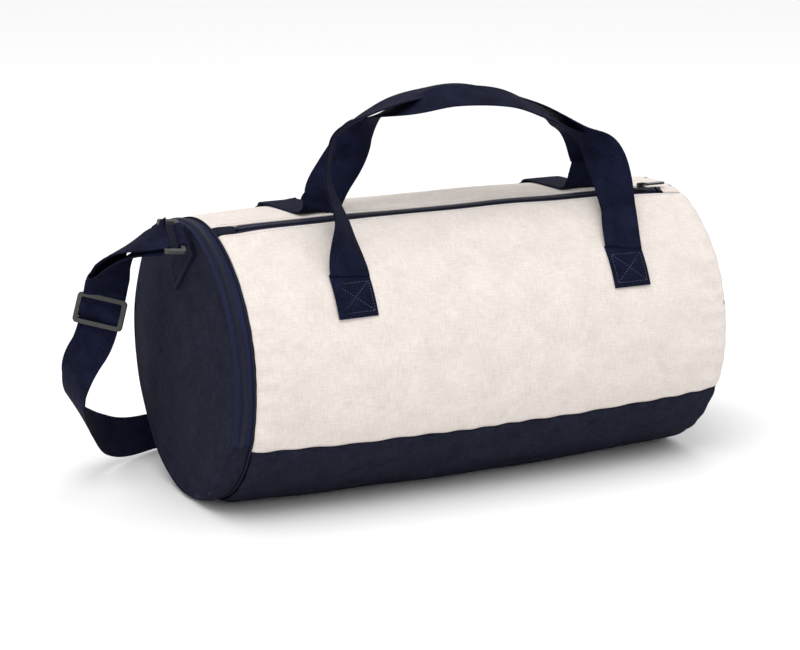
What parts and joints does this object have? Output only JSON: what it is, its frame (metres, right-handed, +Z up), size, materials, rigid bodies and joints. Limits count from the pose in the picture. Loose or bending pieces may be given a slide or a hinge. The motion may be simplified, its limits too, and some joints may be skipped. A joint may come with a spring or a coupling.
{
  "type": "weekender bag",
  "caption": "Barrel-shaped canvas weekender bag with two webbing handles, a top zip, a round zipped end pocket and an adjustable shoulder strap.",
  "frame": {"origin": "on the ground, under the middle of the bag without its shoulder strap", "axes": "+X along the bag away from the zipped end pocket, +Z up, -Y is the front"},
  "size_m": [0.6481, 0.3107, 0.366],
  "materials": {
    "cream_canvas": "natural cotton canvas",
    "navy_canvas": "dyed cotton canvas",
    "navy_webbing": "heavy cotton webbing",
    "zip_tape": "woven zip tape",
    "zip_coil": "moulded nylon coil",
    "zip_metal": "dark enamelled zinc",
    "grey_plastic": "moulded acetal",
    "binding": "seam binding tape"
  },
  "bodies": {
    "bag": {"front_panel": "cream_canvas", "rear_panel": "cream_canvas", "base_panel": "navy_canvas", "left_end_panel": "navy_canvas", "right_end_panel": "navy_canvas", "divider_panel": "navy_canvas", "end_gusset_lower": "navy_canvas", "end_zip_tape_outer": "zip_tape", "end_zip_tape_inner": "zip_tape", "end_zip_coil": "zip_coil", "left_seam_binding": "binding", "right_seam_binding": "binding", "main_zip_tape_front": "zip_tape", "main_zip_tape_rear": "zip_tape", "main_zip_coil": "zip_coil", "main_zip_stops": "zip_metal", "zip_tab_left": "navy_canvas", "zip_tab_right": "cream_canvas", "front_handle_ends": "navy_webbing", "rear_handle_ends": "navy_webbing", "left_tab": "navy_webbing", "right_tab": "navy_webbing"},
    "front_handle": {"front_handle": "navy_webbing"},
    "rear_handle": {"rear_handle": "navy_webbing"},
    "main_slider": {"main_slider": "zip_metal"},
    "main_pull": {"main_pull": "zip_metal"},
    "end_slider": {"end_slider": "zip_metal"},
    "end_pull": {"end_pull": "zip_metal"},
    "strap": {"shoulder_strap": "navy_webbing", "left_ring": "grey_plastic", "right_ring": "grey_plastic", "left_tab_loop": "navy_webbing", "right_tab_loop": "navy_webbing"},
    "adjuster": {"strap_adjuster": "grey_plastic"}
  },
  "joints": [
    {"name": "front_handle_fold", "type": "hinge", "parent": "bag", "child": "front_handle", "pos_m": [0.008, -0.10834, 0.21387], "axis": [1, 0, 0], "range_deg": [0, 165]},
    {"name": "rear_handle_fold", "type": "hinge", "parent": "bag", "child": "rear_handle", "pos_m": [0.008, 0.05313, 0.25563], "axis": [-1, 0, 0], "range_deg": [0, 145]},
    {"name": "main_zip_travel", "type": "slide", "parent": "bag", "child": "main_slider", "axis": [-1, 0, 0], "range_m": [0, 0.4]},
    {"name": "main_pull_swing", "type": "hinge", "parent": "main_slider", "child": "main_pull", "pos_m": [0.207, -0.036, 0.2573], "axis": [0, -1, 0], "range_deg": [0, 165]},
    {"name": "end_zip_travel", "type": "hinge", "parent": "bag", "child": "end_slider", "pos_m": [-0.24, 0, 0.128], "axis": [1, 0, 0], "range_deg": [0, 204]},
    {"name": "end_pull_swing", "type": "hinge", "parent": "end_slider", "child": "end_pull", "pos_m": [-0.24, 0.13104, 0.11683], "axis": [1, 0, 0], "range_deg": [0, 165]},
    {"name": "strap_swing", "type": "hinge", "parent": "bag", "child": "strap", "pos_m": [-0.262, -0.036, 0.2495], "axis": [0.9888, 0.1159, -0.0941], "range_deg": [0, 120]},
    {"name": "adjuster_slide", "type": "slide", "parent": "strap", "child": "adjuster", "axis": [-0.3022, -0.1108, -0.9468], "range_m": [0, 0.02]}
  ]
}
